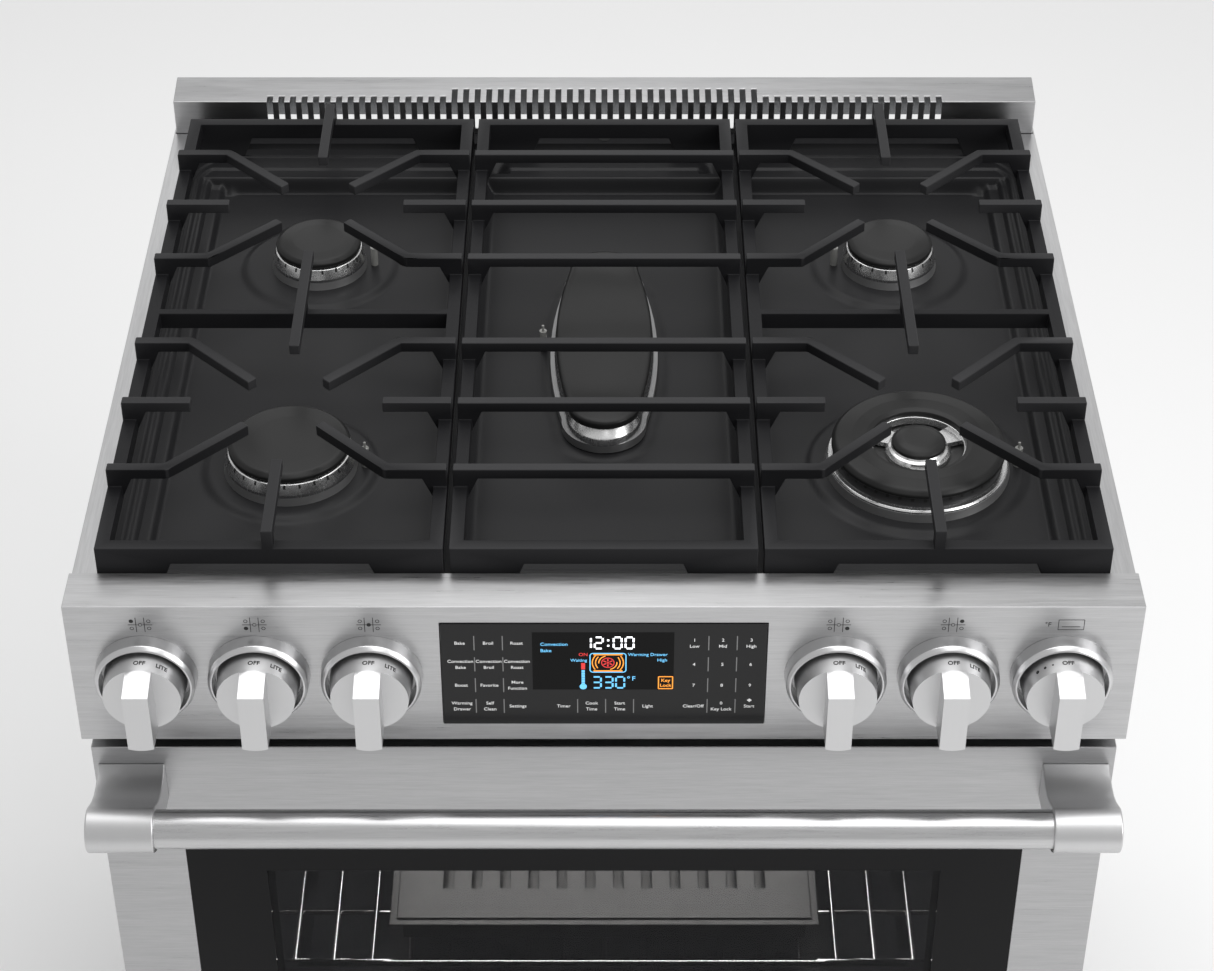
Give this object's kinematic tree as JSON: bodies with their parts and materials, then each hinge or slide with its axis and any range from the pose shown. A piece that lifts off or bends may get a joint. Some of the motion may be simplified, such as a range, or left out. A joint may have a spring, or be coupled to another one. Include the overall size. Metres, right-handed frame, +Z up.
{
  "type": "freestanding gas range",
  "caption": "Freestanding gas range with cast-iron grates, front knobs and display, windowed oven door with tube handle, sliding rack and bottom drawer.",
  "frame": {"origin": "on the floor, at the centre of the overall footprint", "axes": "+Z up, the control panel and door face -Y, +X to the right of a person facing the front"},
  "size_m": [0.7596, 0.7615, 0.961],
  "materials": {
    "stainless": "brushed stainless steel",
    "painted_side": "baked grey paint",
    "zinc_steel": "zinc-coated sheet steel",
    "black_enamel": "gloss porcelain enamel",
    "oven_enamel": "dark speckled porcelain enamel",
    "cast_iron": "matt black enamelled cast iron",
    "burner_enamel": "satin black enamel",
    "burner_aluminium": "cast and machined aluminium",
    "black_glass": "dark tinted glass",
    "display_black": "black glass touch panel",
    "clear_glass": "clear heat-resistant glass",
    "chrome": "bright chrome plate",
    "handle_steel": "polished stainless tube",
    "knob_metal": "satin metal knob",
    "mineral_wool": "glass-fibre blanket",
    "gasket_weave": "woven glass-fibre gasket",
    "brass": "machined brass",
    "ceramic": "white glazed ceramic",
    "black_plastic": "matt moulded plastic"
  },
  "bodies": {
    "root": {"back_panel": "zinc_steel", "backguard": "stainless", "bake_burner": "zinc_steel", "base_frame": "zinc_steel", "broil_burner": "zinc_steel", "burner_bases": "burner_enamel", "burner_gas_tubes": "burner_aluminium", "centre_burner_cap": "burner_enamel", "centre_burner_head": "burner_aluminium", "control_board": "black_plastic", "control_panel": "stainless", "cooktop_deck": "black_enamel", "display_glass": "display_black", "door_gasket": "gasket_weave", "drawer_slides": "zinc_steel", "fan_cover": "zinc_steel", "fan_motor": "zinc_steel", "front_frame": "black_enamel", "gas_manifold": "zinc_steel", "hinge_arms": "zinc_steel", "igniter_electrodes": "ceramic", "knob_bezels": "chrome", "leveling_legs": "zinc_steel", "oven_bottom_plate": "oven_enamel", "oven_insulation": "mineral_wool", "oven_lamp": "clear_glass", "oven_liner": "oven_enamel", "rack_guides": "chrome", "right_front_caps": "burner_enamel", "round_burner_caps": "burner_enamel", "round_burner_heads": "burner_aluminium", "side_panels": "painted_side", "valve_bodies": "brass"},
    "door": {"door_skin": "stainless", "door_glass_outer": "black_glass", "door_liner": "black_enamel", "door_glass_inner": "clear_glass", "door_insulation": "mineral_wool", "door_handle_bar": "handle_steel", "door_handle_brackets": "handle_steel", "door_hinges": "zinc_steel"},
    "drawer": {"drawer_front": "stainless", "drawer_box": "zinc_steel"},
    "rack": {"oven_rack": "chrome", "broiler_pan": "black_enamel"},
    "fan": {"convection_fan": "zinc_steel"},
    "left_grate": {"grate_left": "cast_iron"},
    "centre_grate": {"grate_centre": "cast_iron"},
    "right_grate": {"grate_right": "cast_iron"},
    "knob_left_rear": {"knob_left_rear": "knob_metal"},
    "plug_left_rear": {"valve_plug_left_rear": "brass"},
    "knob_left_front": {"knob_left_front": "knob_metal"},
    "plug_left_front": {"valve_plug_left_front": "brass"},
    "knob_centre": {"knob_centre": "knob_metal"},
    "plug_centre": {"valve_plug_centre": "brass"},
    "knob_right_front": {"knob_right_front": "knob_metal"},
    "plug_right_front": {"valve_plug_right_front": "brass"},
    "knob_right_rear": {"knob_right_rear": "knob_metal"},
    "plug_right_rear": {"valve_plug_right_rear": "brass"},
    "knob_oven": {"knob_oven": "knob_metal"}
  },
  "joints": [
    {"name": "door_hinge", "type": "hinge", "parent": "root", "child": "door", "pos_m": [0, -0.27675, 0.302], "axis": [1, 0, 0], "range_deg": [0, 88], "stiffness_Nm_per_rad": 18, "springref_deg": -11.46},
    {"name": "drawer_slide", "type": "slide", "parent": "root", "child": "drawer", "axis": [0, -1, 0], "range_m": [0, 0.35]},
    {"name": "rack_slide", "type": "slide", "parent": "root", "child": "rack", "axis": [0, -1, 0], "range_m": [0, 0.28]},
    {"name": "fan_spin", "type": "hinge", "parent": "root", "child": "fan", "pos_m": [0, 0.22825, 0.565], "axis": [0, 1, 0], "continuous": true},
    {"name": "left_grate_lift", "type": "slide", "parent": "root", "child": "left_grate", "axis": [0, 0, 1], "range_m": [0, 0.12]},
    {"name": "centre_grate_lift", "type": "slide", "parent": "root", "child": "centre_grate", "axis": [0, 0, 1], "range_m": [0, 0.12]},
    {"name": "right_grate_lift", "type": "slide", "parent": "root", "child": "right_grate", "axis": [0, 0, 1], "range_m": [0, 0.12]},
    {"name": "left_rear_valve_turn", "type": "hinge", "parent": "root", "child": "plug_left_rear", "pos_m": [-0.3245, -0.31275, 0.865], "axis": [0, -1, 0], "range_deg": [0, 270]},
    {"name": "left_rear_knob_push", "type": "slide", "parent": "plug_left_rear", "child": "knob_left_rear", "axis": [0, 1, 0], "range_m": [0, 0.003], "stiffness_N_per_m": 2000, "springref_m": -0.002},
    {"name": "left_front_valve_turn", "type": "hinge", "parent": "root", "child": "plug_left_front", "pos_m": [-0.2445, -0.31275, 0.865], "axis": [0, -1, 0], "range_deg": [0, 270]},
    {"name": "left_front_knob_push", "type": "slide", "parent": "plug_left_front", "child": "knob_left_front", "axis": [0, 1, 0], "range_m": [0, 0.003], "stiffness_N_per_m": 2000, "springref_m": -0.002},
    {"name": "centre_valve_turn", "type": "hinge", "parent": "root", "child": "plug_centre", "pos_m": [-0.1645, -0.31275, 0.865], "axis": [0, -1, 0], "range_deg": [0, 270]},
    {"name": "centre_knob_push", "type": "slide", "parent": "plug_centre", "child": "knob_centre", "axis": [0, 1, 0], "range_m": [0, 0.003], "stiffness_N_per_m": 2000, "springref_m": -0.002},
    {"name": "right_front_valve_turn", "type": "hinge", "parent": "root", "child": "plug_right_front", "pos_m": [0.1645, -0.31275, 0.865], "axis": [0, -1, 0], "range_deg": [0, 270]},
    {"name": "right_front_knob_push", "type": "slide", "parent": "plug_right_front", "child": "knob_right_front", "axis": [0, 1, 0], "range_m": [0, 0.003], "stiffness_N_per_m": 2000, "springref_m": -0.002},
    {"name": "right_rear_valve_turn", "type": "hinge", "parent": "root", "child": "plug_right_rear", "pos_m": [0.2445, -0.31275, 0.865], "axis": [0, -1, 0], "range_deg": [0, 270]},
    {"name": "right_rear_knob_push", "type": "slide", "parent": "plug_right_rear", "child": "knob_right_rear", "axis": [0, 1, 0], "range_m": [0, 0.003], "stiffness_N_per_m": 2000, "springref_m": -0.002},
    {"name": "oven_knob_turn", "type": "hinge", "parent": "root", "child": "knob_oven", "pos_m": [0.3245, -0.31275, 0.865], "axis": [0, -1, 0], "range_deg": [-270, 0]}
  ],
  "couplings": [
    {"joint": "rack_slide", "follows": "door_hinge", "m_per_rad": 0.18}
  ]
}
